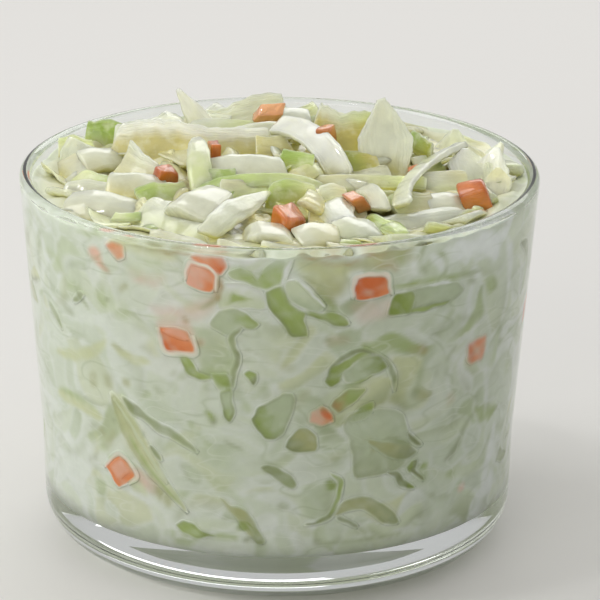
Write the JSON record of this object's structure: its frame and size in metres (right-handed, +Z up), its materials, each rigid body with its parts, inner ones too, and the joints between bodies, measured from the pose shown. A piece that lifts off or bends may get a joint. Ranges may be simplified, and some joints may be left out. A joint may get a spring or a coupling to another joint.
{
  "type": "coleslaw in a glass",
  "caption": "Creamy coleslaw of shredded white cabbage and diced carrot, heaped in a low clear tumbler with a thick base.",
  "frame": {"origin": "centre of the tumbler's foot, on the surface that it stands on", "axes": "+Z up through the middle of the glass, -Y towards the viewer, +X to the viewer's right; the heap's lowest edge is between +X and -Y"},
  "size_m": [0.083, 0.083, 0.065],
  "materials": {
    "glass": "gloss",
    "coleslaw": "satin"
  },
  "bodies": {
    "root": {"glass": "glass", "coleslaw": "coleslaw"}
  },
  "joints": []
}
